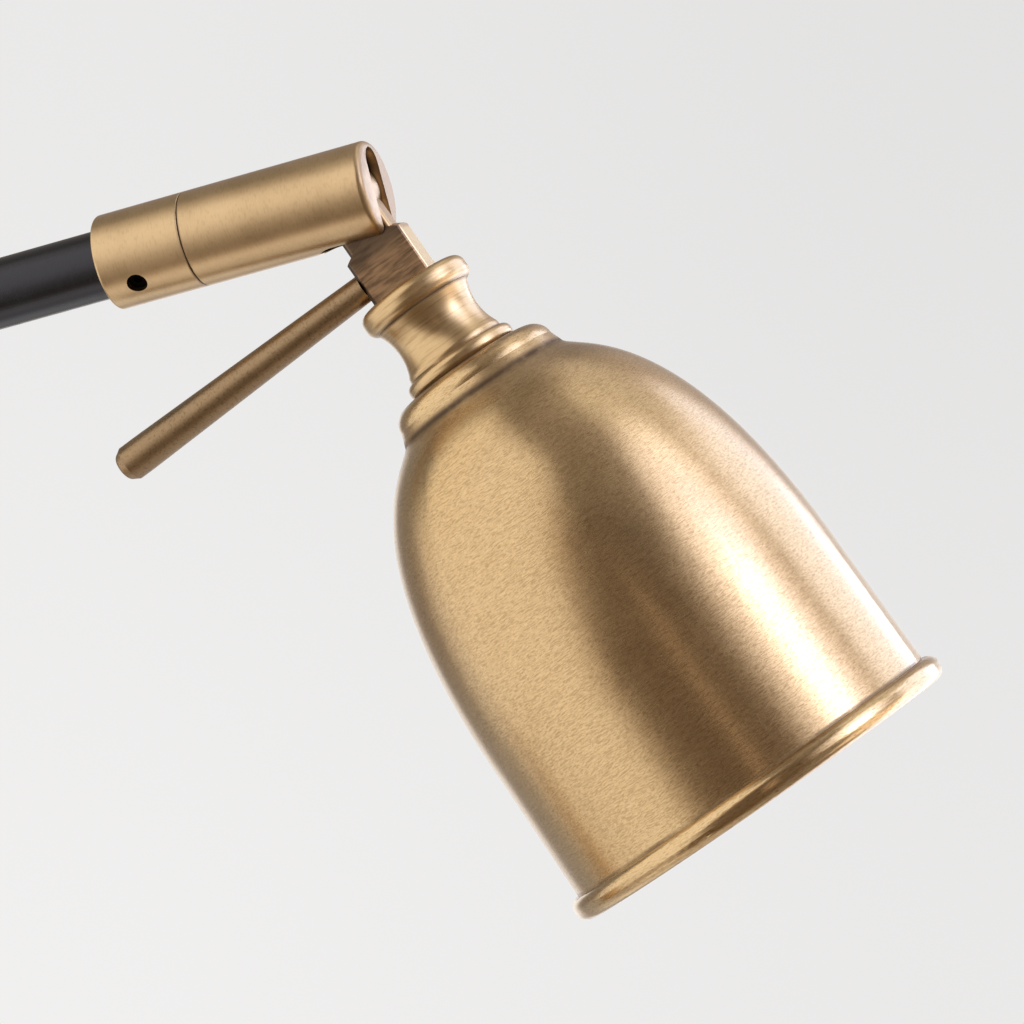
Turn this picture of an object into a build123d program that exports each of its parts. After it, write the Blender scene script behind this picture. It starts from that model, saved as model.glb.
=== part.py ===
from build123d import *
import os
from math import cos, hypot, radians, sin, tan

# Swing arm desk lamp: weighted base, post, swinging arm and a tilting bell shade on a swivel.
# Millimetres, +Z up, origin at the centre of the base's underside. At rest the arm, the hinges'
# swing and the head all lie in the XZ plane, and both hinge pins run along Y.

# Layout of the whole lamp
ARM_PIVOT_HEIGHT = 340.0
ARM_LENGTH = 320.0
ARM_RISE = 15.55
HEAD_DROP = 53.85

# Fits shared by all fittings
THREAD_CLEARANCE = 0.03
RUNNING_CLEARANCE = 0.06
FACE_CLEARANCE = 0.03
TUBE_CLEARANCE = 0.05
HOLE_CLEARANCE = 0.2
EDGE_BREAK = 0.25
EDGE_ROUND = 0.5

# Black steel tubes of the post and the arm
TUBE_DIAMETER = 12.7
TUBE_WALL = 1.2

# Grub screws that hold the tubes, turned down from the near side of each sleeve
GRUB_DIAMETER = 3.7
GRUB_LENGTH = 1.2
GRUB_KEY = 1.5
GRUB_KEY_DEPTH = 0.7
GRUB_ANGLE = 36.0
GRUB_INSET = 6.5

# Slotted knuckles: one on the post, one at the end of the arm
KNUCKLE_DIAMETER = 17.6
KNUCKLE_NOSE = 6.3
KNUCKLE_TAIL = 29.25
NOSE_ROUND = 1.2
SLOT_BACK = 7.4
SLOT_ROOF = 1.3

# Hinge pin and its friction washers
PIN_DIAMETER = 4.5
PIN_COVER = 1.8
PIN_HEAD_DIAMETER = 7.0
PIN_HEAD_HEIGHT = 2.0
PIN_HEAD_SINK = 1.0
PIN_KEY = 2.5
PIN_KEY_DEPTH = 1.2
PIVOT_WASHER_DIAMETER = 8.4
PIVOT_WASHER_THICKNESS = 0.5

# Swivels: a hollow stud screwed into the knuckle turns in the web of a collar
COLLAR_LENGTH = 17.0
COLLAR_WEB = 4.0
COLLAR_GRIP = 9.0
SWIVEL_WASHER_DIAMETER = 16.6
SWIVEL_WASHER_THICKNESS = 0.2
SEAM_BREAK = 0.1
STUD_DIAMETER = 8.0
STUD_BORE = 4.5
STUD_THREAD_LENGTH = 10.0
STUD_HEAD_DIAMETER = 11.6
STUD_HEAD_HEIGHT = 2.4
SPRING_WASHER_DIAMETER = 11.0
SPRING_WASHER_THICKNESS = 0.8

# Flat hinge tongues, set off the axis toward the handle to give it more thread
TONGUE_WIDTH = 12.4
TONGUE_OFFSET = 0.45
TONGUE_THICKNESS = 5.8
TONGUE_BEVEL = 0.4
TONGUE_HANDLE_BEVEL = 0.9
TONGUE_LENGTH = 19.6
SHOULDER_DISTANCE = 10.6
SHOULDER_SLOPE = 30.0
BLADE_WIDTH = 9.7
BLADE_THICKNESS = 5.4
BLADE_ROUND = 1.1
EYE_DIAMETER = 11.4
EYE_ROUND = 0.6
SPIGOT_DIAMETER = 8.0
SPIGOT_LENGTH = 7.0
SPIGOT_SPARE = 0.5

# Sleeve that joins the arm tube to its tongue, and the ring that opens it
SOCKET_RING_DIAMETER = 21.6
SOCKET_RING_HEIGHT = 4.3
SOCKET_RING_ROUND = 1.7
SOCKET_LENGTH = 25.0
SOCKET_GRIP = 14.0

# Tilt handle
HANDLE_DISTANCE = 15.1
HANDLE_LENGTH = 57.3
HANDLE_ROOT_DIAMETER = 5.2
HANDLE_TIP_DIAMETER = 6.8
HANDLE_TIP_LAND = 5.0
HANDLE_TIP_BEVEL = 1.0
HANDLE_TIP_BEVEL_LENGTH = 1.8
HANDLE_TIP_ROUND = 1.2
HANDLE_SPIGOT_DIAMETER = 3.6
HANDLE_SPIGOT_LENGTH = 4.0

# Turned neck of the head
NECK_RING_DIAMETER = 21.6
NECK_RING_HEIGHT = 4.5
NECK_RING_ROUND = 1.7
COVE_TOP_DIAMETER = 18.9
COVE_WAIST_DIAMETER = 16.6
COVE_HEIGHT = 9.55
NECK_STEP_DIAMETER = 19.0
NECK_STEP_HEIGHT = 0.9
NECK_STEP_ROUND = 1.5
NECK_BEAD_DIAMETER = 21.7
NECK_BEAD_HEIGHT = 2.9
NECK_BEAD_ROUND = 1.2
WIRE_BORE = 6.0

# Bell shade, spun from one sheet
SHADE_WALL = 1.0
CROWN_DIAMETER = 32.3
CROWN_ROUND = 3.4
CROWN_HEIGHT = 5.9
CREASE_DIAMETER = 34.1
DOME_SLOPE = 40.0
DOME_START_PULL = 4.1
DOME_END_PULL = 48.1
DOME_HEIGHT = 57.5
SKIRT_DIAMETER = 72.9
SKIRT_FLARE = 0.45
SKIRT_HEIGHT = 24.7
RIM_DIAMETER = 77.8
RIM_HEIGHT = 4.5
RIM_ROUND = 1.9

# Threaded tubes, nuts and lampholder inside the shade
NIPPLE_DIAMETER = 10.0
NIPPLE_BORE = 7.0
NIPPLE_GRIP = 8.0
NIPPLE_END = 0.8
NUT_ACROSS_FLATS = 14.0
NUT_HEIGHT = 4.0
BRACKET_SPAN = 22.0
BRACKET_WIDTH = 14.0
BRACKET_SHEET = 1.2
BRACKET_DROP = 13.0
BRACKET_FOOT = 7.0
HOLDER_SCREW_DIAMETER = 3.0
HOLDER_SCREW_LENGTH = 6.0
HOLDER_SCREW_HEAD_DIAMETER = 5.0
HOLDER_SCREW_HEAD_HEIGHT = 1.8
HOLDER_DIAMETER = 26.0
HOLDER_HEIGHT = 15.0
HOLDER_ROUND = 1.5

# Reflector lamp with two lock pins
LAMP_DIAMETER = 50.0
LAMP_LENGTH = 46.0
LAMP_BASE_DIAMETER = 17.0
LAMP_BASE_LENGTH = 11.0
LAMP_RIM_LENGTH = 6.0
LAMP_PIN_SPACING = 10.0
LAMP_PIN_DIAMETER = 3.0
LAMP_PIN_LENGTH = 7.0
LAMP_PIN_HEAD_DIAMETER = 5.0
LAMP_PIN_HEAD_LENGTH = 2.2
LENS_DIAMETER = 45.0
LENS_THICKNESS = 2.0

# Weighted base
BASE_DIAMETER = 172.0
COVER_WALL = 1.2
COVER_TOP = 26.0
COVER_LIFT = 1.0
COVER_ROUND = 7.0
BASE_BEAD_HEIGHT = 4.5
BASE_BEAD_PROUD = 2.0
BASE_BEAD_ROUND = 1.9
BOSS_DIAMETER = 48.0
BOSS_HEIGHT = 3.0
BOSS_ROUND = 1.6
WEIGHT_GAP = 0.5
WEIGHT_THICKNESS = 15.0
PLATE_THICKNESS = 1.5
PAD_THICKNESS = 2.0
PAD_INSET = 3.0
BASE_SCREW_COUNT = 3
BASE_SCREW_INSET = 28.0
BASE_SCREW_DIAMETER = 4.0
BASE_SCREW_LENGTH = 9.0
BASE_SCREW_HEAD_DIAMETER = 7.0
COUNTERSINK_TAPER = 45.0
POST_NUT_RECESS_DIAMETER = 26.0
POST_NUT_RECESS_DEPTH = 9.0
POST_WASHER_DIAMETER = 22.0
POST_WASHER_THICKNESS = 1.5

# Lead outlet in the back of the base
GLAND_BORE = 6.8
GLAND_STEM_DIAMETER = 9.0
GLAND_STEM_LENGTH = 8.0
GLAND_FLANGE_DIAMETER = 11.5
GLAND_FLANGE_LENGTH = 2.5

# Push switch behind the post
SWITCH_INSET = 34.0
SWITCH_BODY_DIAMETER = 16.0
SWITCH_BODY_LENGTH = 14.0
SWITCH_POCKET_DIAMETER = 18.0
SWITCH_BUSH_DIAMETER = 12.0
SWITCH_WELL_DEPTH = 9.0
BEZEL_DIAMETER = 18.0
BEZEL_HEIGHT = 2.6
BEZEL_ROUND = 1.0
BUTTON_DIAMETER = 9.0
BUTTON_PROUD = 3.6
BUTTON_SUNK = 6.0
BUTTON_ROUND = 0.8
BUTTON_CLEARANCE = 0.3

# Post foot, turned
FOOT_FLANGE_DIAMETER = 34.0
FOOT_FLANGE_HEIGHT = 4.0
FOOT_FLANGE_ROUND = 1.7
FOOT_COVE_START_DIAMETER = 29.0
FOOT_COVE_WAIST_DIAMETER = 20.0
FOOT_COVE_END_DIAMETER = 19.0
FOOT_COVE_HEIGHT = 16.0
FOOT_RING_DIAMETER = 21.6
FOOT_RING_HEIGHT = 4.3
FOOT_RING_ROUND = 1.7
FOOT_SLEEVE_LENGTH = 9.0
FOOT_GRIP = 14.0


def axis_plane(origin, direction):
    """Plane in the lamp's swing plane: local y runs along direction, local z along world +Y."""
    return Plane(origin=origin, x_dir=(-direction.Z, 0, direction.X), z_dir=(0, 1, 0))


def square_plane(frame, distance):
    """Plane square to a frame's axis, at a distance along it and facing along it."""
    return Plane(origin=frame.origin + frame.y_dir * distance, x_dir=frame.x_dir, z_dir=frame.y_dir)


def axis_of(frame):
    """The axis that a frame's turned pieces share."""
    return Axis(frame.origin, frame.y_dir)


def grub_plane(frame, distance):
    """Plane through a frame's axis that faces out along a grub screw."""
    outward = frame.z_dir * -cos(radians(GRUB_ANGLE)) + frame.x_dir * -sin(radians(GRUB_ANGLE))
    origin = frame.origin + frame.y_dir * distance
    return Plane(origin=origin, x_dir=frame.y_dir, z_dir=outward)


def save(builder, name):
    """Label a finished piece and write its file."""
    builder.part.label = name
    export_step(builder.part, f"parts/{name}.step")


os.makedirs("parts", exist_ok=True)

# Places that follow from the layout
post_dir = Vector(0, 0, 1)
arm_dir = Vector(cos(radians(ARM_RISE)), 0, sin(radians(ARM_RISE)))
head_dir = Vector(cos(radians(HEAD_DROP)), 0, -sin(radians(HEAD_DROP)))
arm_pivot = Vector(0, 0, ARM_PIVOT_HEIGHT)
head_pivot = arm_pivot + arm_dir * ARM_LENGTH
base_frame = axis_plane(Vector(0, 0, 0), post_dir)
swing_frame = axis_plane(arm_pivot, post_dir)
arm_frame = axis_plane(arm_pivot, arm_dir)
swivel_frame = axis_plane(head_pivot, arm_dir)
head_frame = axis_plane(head_pivot, head_dir)
handle_frame = axis_plane(head_pivot + head_dir * HANDLE_DISTANCE, head_frame.x_dir * -1)

# Sizes that follow from the fits
knuckle_radius = KNUCKLE_DIAMETER / 2
tube_hole = TUBE_DIAMETER + 2 * TUBE_CLEARANCE
slot_width = BLADE_THICKNESS + 2 * (PIVOT_WASHER_THICKNESS + FACE_CLEARANCE)
tongue_reach = TONGUE_WIDTH / 2 + TONGUE_OFFSET
pin_tip = knuckle_radius - PIN_COVER
pin_head_seat = knuckle_radius - PIN_HEAD_SINK - PIN_HEAD_HEIGHT
stud_hole = STUD_DIAMETER + 2 * THREAD_CLEARANCE
collar_face = -(KNUCKLE_TAIL + SWIVEL_WASHER_THICKNESS)
collar_floor = collar_face - COLLAR_WEB
collar_mouth = collar_face - COLLAR_LENGTH
nipple_hole = NIPPLE_DIAMETER + 2 * THREAD_CLEARANCE
switch_distance = BASE_DIAMETER / 2 - SWITCH_INSET
through_all = 2 * BASE_DIAMETER


def add_ring(frame, start, diameter, height, rounding):
    """Add a turned ring with a rounded outer edge, from start along the frame's axis."""
    with BuildSketch(frame) as ring:
        with Locations((0, start)):
            Rectangle(diameter / 2, height, align=Align.MIN)
        fillet(ring.vertices().group_by(Axis.X)[-1], rounding)
    revolve(ring.sketch, axis=axis_of(frame))


def cut_round(plane, diameter, amount):
    """Cut a round hole from a plane, by an amount along its normal."""
    with BuildSketch(plane) as hole:
        Circle(diameter / 2)
    extrude(hole.sketch, amount=amount, mode=Mode.SUBTRACT)


def cut_grub_hole(frame, distance):
    """Cut the threaded hole of a grub screw through the near wall of a sleeve."""
    cut_round(grub_plane(frame, distance), GRUB_DIAMETER + 2 * THREAD_CLEARANCE, KNUCKLE_DIAMETER)


def make_grub_screw(name, frame, distance):
    """Grub screw that bears on the tube, with its key socket facing out."""
    plane = grub_plane(frame, distance)
    with BuildPart() as grub:
        with BuildSketch(plane.offset(TUBE_DIAMETER / 2)):
            Circle(GRUB_DIAMETER / 2)
        extrude(amount=GRUB_LENGTH)
        with BuildSketch(plane.offset(TUBE_DIAMETER / 2 + GRUB_LENGTH)):
            RegularPolygon(GRUB_KEY / 2, 6, major_radius=False)
        extrude(amount=-GRUB_KEY_DEPTH, mode=Mode.SUBTRACT)
    save(grub, name)


def make_tube(name, frame, start, end):
    """Plain tube along a frame's axis."""
    with BuildPart() as tube:
        with BuildSketch(square_plane(frame, start)):
            Circle(TUBE_DIAMETER / 2)
            Circle(TUBE_DIAMETER / 2 - TUBE_WALL, mode=Mode.SUBTRACT)
        extrude(amount=end - start)
    save(tube, name)


def make_washer(name, frame, start, outer, inner, thickness):
    """Flat washer, from start along the frame's axis."""
    with BuildPart() as washer:
        with BuildSketch(square_plane(frame, start)):
            Circle(outer / 2)
            Circle(inner / 2, mode=Mode.SUBTRACT)
        extrude(amount=thickness)
    save(washer, name)


def make_nipple(name, frame, start, end):
    """Hollow threaded tube along a frame's axis."""
    with BuildPart() as nipple:
        with BuildSketch(square_plane(frame, start)):
            Circle(NIPPLE_DIAMETER / 2)
            Circle(NIPPLE_BORE / 2, mode=Mode.SUBTRACT)
        extrude(amount=end - start)
    save(nipple, name)


def make_nut(name, frame, start):
    """Hexagon nut on a threaded tube."""
    with BuildPart() as nut:
        with BuildSketch(square_plane(frame, start)):
            RegularPolygon(NUT_ACROSS_FLATS / 2, 6, major_radius=False)
            Circle(nipple_hole / 2, mode=Mode.SUBTRACT)
        extrude(amount=NUT_HEIGHT)
    save(nut, name)


def make_knuckle(name, frame):
    """Knuckle turned from bar, with a round-ended slot open at its nose and on one side."""
    slot_round = slot_width / 2
    slot_crown = knuckle_radius - SLOT_ROOF - slot_round
    slot_end = Plane(origin=square_plane(frame, slot_round - SLOT_BACK).origin + frame.x_dir * slot_crown,
                     x_dir=frame.y_dir, z_dir=frame.x_dir * -1)
    with BuildPart() as knuckle:
        with BuildSketch(square_plane(frame, -KNUCKLE_TAIL)):
            Circle(knuckle_radius)
        extrude(amount=KNUCKLE_TAIL + KNUCKLE_NOSE)
        fillet(knuckle.edges().filter_by(GeomType.CIRCLE).sort_by(axis_of(frame))[-1], NOSE_ROUND)
        chamfer(knuckle.edges().filter_by(GeomType.CIRCLE).sort_by(axis_of(frame))[0], SEAM_BREAK)
        with BuildSketch(square_plane(frame, KNUCKLE_NOSE)):
            with Locations((slot_crown, 0)):
                Circle(slot_round)
                Rectangle(2 * KNUCKLE_DIAMETER, slot_width, align=(Align.MAX, Align.CENTER))
        extrude(amount=slot_round - SLOT_BACK - KNUCKLE_NOSE, mode=Mode.SUBTRACT)
        cut_round(slot_end, slot_width, 2 * KNUCKLE_DIAMETER)
        cut_round(frame.offset(-pin_tip), PIN_DIAMETER + 2 * THREAD_CLEARANCE, KNUCKLE_DIAMETER)
        cut_round(frame.offset(pin_head_seat), PIN_HEAD_DIAMETER + 2 * HOLE_CLEARANCE, KNUCKLE_DIAMETER)
        cut_round(square_plane(frame, -KNUCKLE_TAIL), stud_hole, STUD_THREAD_LENGTH)
        cut_round(square_plane(frame, -KNUCKLE_TAIL), STUD_BORE, KNUCKLE_TAIL - SLOT_BACK)
    save(knuckle, name)


def make_pivot_screw(name, frame):
    """Hinge pin with a sunk socket head on the far side and a blind end in the near wall."""
    with BuildPart() as screw:
        with BuildSketch(frame.offset(-pin_tip)):
            Circle(PIN_DIAMETER / 2)
        extrude(amount=pin_tip + pin_head_seat)
        with BuildSketch(frame.offset(pin_head_seat)):
            Circle(PIN_HEAD_DIAMETER / 2)
        extrude(amount=PIN_HEAD_HEIGHT)
        with BuildSketch(frame.offset(pin_head_seat + PIN_HEAD_HEIGHT)):
            RegularPolygon(PIN_KEY / 2, 6, major_radius=False)
        extrude(amount=-PIN_KEY_DEPTH, mode=Mode.SUBTRACT)
    save(screw, name)


def make_pivot_washers(name, frame):
    """Pair of friction washers, one against each wall of the slot."""
    with BuildPart() as washers:
        for wall_side in (-1, 1):
            with BuildSketch(frame.offset(wall_side * slot_width / 2)):
                Circle(PIVOT_WASHER_DIAMETER / 2)
                Circle(PIN_DIAMETER / 2 + RUNNING_CLEARANCE, mode=Mode.SUBTRACT)
            extrude(amount=-wall_side * PIVOT_WASHER_THICKNESS)
    save(washers, name)


def make_collar(name, frame):
    """Collar that grips a tube and carries the swivel stud in its web."""
    with BuildPart() as collar:
        with BuildSketch(square_plane(frame, collar_mouth)):
            Circle(knuckle_radius)
        extrude(amount=COLLAR_LENGTH)
        chamfer(collar.edges().filter_by(GeomType.CIRCLE).sort_by(axis_of(frame))[-1], SEAM_BREAK)
        fillet(collar.edges().filter_by(GeomType.CIRCLE).sort_by(axis_of(frame))[0], EDGE_ROUND)
        cut_round(square_plane(frame, collar_floor), tube_hole, -COLLAR_LENGTH)
        cut_round(square_plane(frame, collar_face), STUD_DIAMETER + 2 * RUNNING_CLEARANCE, -COLLAR_LENGTH)
        cut_grub_hole(frame, collar_mouth + GRUB_INSET)
    save(collar, name)


def make_swivel_hardware(prefix, frame):
    """Hollow stud, spring washer under its head and friction disc in the seam."""
    stud_seat = collar_floor - SPRING_WASHER_THICKNESS
    with BuildPart() as stud:
        with BuildSketch(square_plane(frame, stud_seat - STUD_HEAD_HEIGHT)):
            Circle(STUD_HEAD_DIAMETER / 2)
        extrude(amount=STUD_HEAD_HEIGHT)
        with BuildSketch(square_plane(frame, stud_seat)):
            Circle(STUD_DIAMETER / 2)
        extrude(amount=STUD_THREAD_LENGTH - KNUCKLE_TAIL - stud_seat)
        cut_round(square_plane(frame, stud_seat - STUD_HEAD_HEIGHT), STUD_BORE, KNUCKLE_TAIL)
    save(stud, f"{prefix}_stud")
    washer_hole = STUD_DIAMETER + 2 * RUNNING_CLEARANCE
    make_washer(f"{prefix}_spring_washer", frame, stud_seat, SPRING_WASHER_DIAMETER, washer_hole,
                SPRING_WASHER_THICKNESS)
    make_washer(f"{prefix}_washer", frame, collar_face, SWIVEL_WASHER_DIAMETER, washer_hole,
                SWIVEL_WASHER_THICKNESS)


def tongue_blank(frame):
    """Hinge tongue: round eye on a blade, bevelled block with a turned shoulder, threaded spigot."""
    corner_radius = hypot(tongue_reach, TONGUE_THICKNESS / 2)
    slope = tan(radians(SHOULDER_SLOPE))
    crest = SHOULDER_DISTANCE - (corner_radius - TONGUE_THICKNESS / 2) * slope
    with BuildPart() as eye:
        with BuildSketch(frame):
            Circle(EYE_DIAMETER / 2)
        extrude(amount=BLADE_THICKNESS / 2, both=True)
        fillet(eye.edges().filter_by(GeomType.CIRCLE), EYE_ROUND)
    with BuildPart() as tongue:
        with BuildSketch(square_plane(frame, TONGUE_LENGTH)) as block:
            with Locations((-TONGUE_OFFSET, 0)):
                Rectangle(TONGUE_WIDTH, TONGUE_THICKNESS)
            chamfer(block.vertices().group_by(Axis.X)[0], TONGUE_HANDLE_BEVEL)
            chamfer(block.vertices().group_by(Axis.X)[-1], TONGUE_BEVEL)
        extrude(amount=crest - TONGUE_LENGTH)
        with BuildSketch(frame):
            with BuildLine():
                cut_low = crest + (TONGUE_WIDTH - TONGUE_THICKNESS / 2) * slope
                Polyline((TONGUE_THICKNESS / 2, crest), (TONGUE_WIDTH, crest), (TONGUE_WIDTH, cut_low),
                         close=True)
            make_face()
        revolve(axis=axis_of(frame), mode=Mode.SUBTRACT)
        with BuildSketch(square_plane(frame, SHOULDER_DISTANCE)):
            with Locations((-TONGUE_OFFSET, 0)):
                RectangleRounded(BLADE_WIDTH, BLADE_THICKNESS, BLADE_ROUND)
        extrude(amount=-SHOULDER_DISTANCE)
        add(eye.part)
        with BuildSketch(square_plane(frame, TONGUE_LENGTH)):
            Circle(SPIGOT_DIAMETER / 2)
        extrude(amount=SPIGOT_LENGTH)
        with BuildSketch(frame):
            Circle(PIN_DIAMETER / 2 + RUNNING_CLEARANCE)
        extrude(amount=BLADE_THICKNESS, both=True, mode=Mode.SUBTRACT)
    return tongue.part


# Base cover: spun brass with a rolled bead at its foot and a low boss under the post
cover_radius = BASE_DIAMETER / 2 - BASE_BEAD_PROUD
cover_inner_radius = cover_radius - COVER_WALL
cover_inner_top = COVER_TOP - COVER_WALL
boss_top = COVER_TOP + BOSS_HEIGHT
boss_inner_top = boss_top - COVER_WALL
gland_level = COVER_LIFT + BASE_BEAD_HEIGHT + HOLE_CLEARANCE + GLAND_FLANGE_DIAMETER / 2


def add_cover_form(radius, bottom, top, edge_round, boss_radius, boss_level, mode):
    """Add or cut the drum and boss of the cover, at its outer or its inner size."""
    with BuildSketch(base_frame) as drum:
        with Locations((0, bottom)):
            Rectangle(radius, top - bottom, align=Align.MIN)
        fillet(drum.vertices().group_by(Axis.X)[-1].sort_by(Axis.Y)[-1], edge_round)
    revolve(drum.sketch, axis=Axis.Z, mode=mode)
    with BuildSketch(Plane.XY.offset(bottom)) as boss:
        Circle(boss_radius)
    extrude(boss.sketch, amount=boss_level - bottom, mode=mode)


with BuildPart() as base_cover:
    add_cover_form(cover_radius, COVER_LIFT, COVER_TOP, COVER_ROUND, BOSS_DIAMETER / 2, boss_top, Mode.ADD)
    fillet(base_cover.edges().filter_by(GeomType.CIRCLE).sort_by(Axis.Z)[-1], BOSS_ROUND)
    with BuildSketch(base_frame) as base_bead:
        with Locations((0, COVER_LIFT)):
            Rectangle(BASE_DIAMETER / 2, BASE_BEAD_HEIGHT, align=Align.MIN)
        fillet(base_bead.vertices().group_by(Axis.X)[-1], BASE_BEAD_ROUND)
    revolve(axis=Axis.Z)
    add_cover_form(cover_inner_radius, COVER_LIFT, cover_inner_top, COVER_ROUND - COVER_WALL,
                   BOSS_DIAMETER / 2 - COVER_WALL, boss_inner_top, Mode.SUBTRACT)
    cut_round(Plane.XY, NIPPLE_DIAMETER + 2 * HOLE_CLEARANCE, through_all)
    with BuildSketch(Plane.XY):
        with Locations((-switch_distance, 0)):
            Circle(SWITCH_BUSH_DIAMETER / 2 + HOLE_CLEARANCE)
    extrude(amount=through_all, mode=Mode.SUBTRACT)
    cut_round(Plane(origin=(0, 0, gland_level), z_dir=(-1, 0, 0)), GLAND_STEM_DIAMETER, through_all)
save(base_cover, "base_cover")

# Bottom of the base: felt pad under a steel plate, screwed to the iron weight
plate_bottom = PAD_THICKNESS
weight_bottom = PAD_THICKNESS + PLATE_THICKNESS
weight_top = weight_bottom + WEIGHT_THICKNESS
plate_radius = cover_inner_radius - WEIGHT_GAP
screw_places = PolarLocations(BASE_DIAMETER / 2 - BASE_SCREW_INSET, BASE_SCREW_COUNT)
screw_head_drop = (BASE_SCREW_HEAD_DIAMETER - BASE_SCREW_DIAMETER) / 2

with BuildPart() as base_pad:
    with BuildSketch(Plane.XY):
        Circle(plate_radius - PAD_INSET)
    extrude(amount=PAD_THICKNESS)
save(base_pad, "base_pad")

with BuildPart() as base_plate:
    with BuildSketch(Plane.XY.offset(plate_bottom)):
        Circle(plate_radius)
    extrude(amount=PLATE_THICKNESS)
    with BuildSketch(Plane.XY.offset(plate_bottom)):
        with screw_places:
            Circle(BASE_SCREW_HEAD_DIAMETER / 2 + HOLE_CLEARANCE)
    extrude(amount=PLATE_THICKNESS, taper=COUNTERSINK_TAPER, mode=Mode.SUBTRACT)
save(base_plate, "base_plate")

with BuildPart() as base_screws:
    with BuildSketch(Plane.XY.offset(plate_bottom)):
        with screw_places:
            Circle(BASE_SCREW_HEAD_DIAMETER / 2)
    extrude(amount=screw_head_drop, taper=COUNTERSINK_TAPER)
    with BuildSketch(Plane.XY.offset(plate_bottom + screw_head_drop)):
        with screw_places:
            Circle(BASE_SCREW_DIAMETER / 2)
    extrude(amount=BASE_SCREW_LENGTH - screw_head_drop)
save(base_screws, "base_screws")

# Iron weight: a disc with a boss that carries the cover, a nut recess, a lead channel and a pocket
with BuildPart() as base_weight:
    with BuildSketch(Plane.XY.offset(weight_bottom)):
        Circle(plate_radius)
    extrude(amount=WEIGHT_THICKNESS)
    with BuildSketch(Plane.XY.offset(weight_bottom)):
        Circle(BOSS_DIAMETER / 2 - COVER_WALL - WEIGHT_GAP)
    extrude(amount=boss_inner_top - weight_bottom)
    cut_round(Plane.XY, NIPPLE_DIAMETER + 2 * HOLE_CLEARANCE, through_all)
    cut_round(Plane.XY.offset(weight_bottom), POST_NUT_RECESS_DIAMETER, POST_NUT_RECESS_DEPTH)
    with BuildSketch(Plane.XY.offset(weight_bottom)):
        Rectangle(through_all, GLAND_STEM_DIAMETER + 2 * WEIGHT_GAP, align=(Align.MAX, Align.CENTER))
    extrude(amount=gland_level + GLAND_STEM_DIAMETER / 2 + WEIGHT_GAP - weight_bottom, mode=Mode.SUBTRACT)
    with BuildSketch(Plane.XY.offset(weight_bottom)):
        with Locations((-switch_distance, 0)):
            Circle(SWITCH_POCKET_DIAMETER / 2)
    extrude(amount=WEIGHT_THICKNESS, mode=Mode.SUBTRACT)
    with BuildSketch(Plane.XY.offset(weight_bottom)):
        with screw_places:
            Circle(BASE_SCREW_DIAMETER / 2 + THREAD_CLEARANCE)
    extrude(amount=BASE_SCREW_LENGTH, mode=Mode.SUBTRACT)
save(base_weight, "base_weight")

# Lead outlet: a flanged bush through the back of the cover
with BuildPart() as cord_gland:
    gland_plane = Plane(origin=(-cover_radius, 0, gland_level), z_dir=(-1, 0, 0))
    with BuildSketch(gland_plane):
        Circle(GLAND_FLANGE_DIAMETER / 2)
    extrude(amount=GLAND_FLANGE_LENGTH)
    chamfer(cord_gland.edges().filter_by(GeomType.CIRCLE).sort_by(Axis.X)[0], EDGE_BREAK)
    with BuildSketch(gland_plane):
        Circle(GLAND_STEM_DIAMETER / 2 - THREAD_CLEARANCE)
    extrude(amount=-GLAND_STEM_LENGTH)
    cut_round(gland_plane.offset(GLAND_FLANGE_LENGTH), GLAND_BORE, -through_all)
save(cord_gland, "cord_gland")

# Push switch: body and threaded bush under the cover, brass ring on top, sliding button
switch_top = COVER_TOP + BEZEL_HEIGHT
switch_plane = Plane(origin=(-switch_distance, 0, 0))

with BuildPart() as switch_body:
    with BuildSketch(switch_plane.offset(cover_inner_top - SWITCH_BODY_LENGTH)):
        Circle(SWITCH_BODY_DIAMETER / 2)
    extrude(amount=SWITCH_BODY_LENGTH)
    with BuildSketch(switch_plane.offset(cover_inner_top)):
        Circle(SWITCH_BUSH_DIAMETER / 2)
    extrude(amount=switch_top - cover_inner_top)
    cut_round(switch_plane.offset(switch_top), BUTTON_DIAMETER + 2 * BUTTON_CLEARANCE, -SWITCH_WELL_DEPTH)
save(switch_body, "switch_body")

with BuildPart() as switch_bezel:
    with BuildSketch(switch_plane.offset(COVER_TOP)):
        Circle(BEZEL_DIAMETER / 2)
    extrude(amount=BEZEL_HEIGHT)
    fillet(switch_bezel.edges().filter_by(GeomType.CIRCLE).sort_by(Axis.Z)[-1], BEZEL_ROUND)
    cut_round(switch_plane.offset(COVER_TOP), SWITCH_BUSH_DIAMETER + 2 * THREAD_CLEARANCE, BEZEL_HEIGHT)
save(switch_bezel, "switch_bezel")

with BuildPart() as switch_button:
    with BuildSketch(switch_plane.offset(switch_top - BUTTON_SUNK)):
        Circle(BUTTON_DIAMETER / 2)
    extrude(amount=BUTTON_SUNK + BUTTON_PROUD)
    fillet(switch_button.edges().filter_by(GeomType.CIRCLE).sort_by(Axis.Z)[-1], BUTTON_ROUND)
save(switch_button, "switch_button")

# Post foot: turned flange, cove, ring and sleeve, held on the cover by a nipple and a nut
foot_cove_start = boss_top + FOOT_FLANGE_HEIGHT
foot_ring_start = foot_cove_start + FOOT_COVE_HEIGHT
foot_sleeve_start = foot_ring_start + FOOT_RING_HEIGHT
foot_top = foot_sleeve_start + FOOT_SLEEVE_LENGTH

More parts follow.
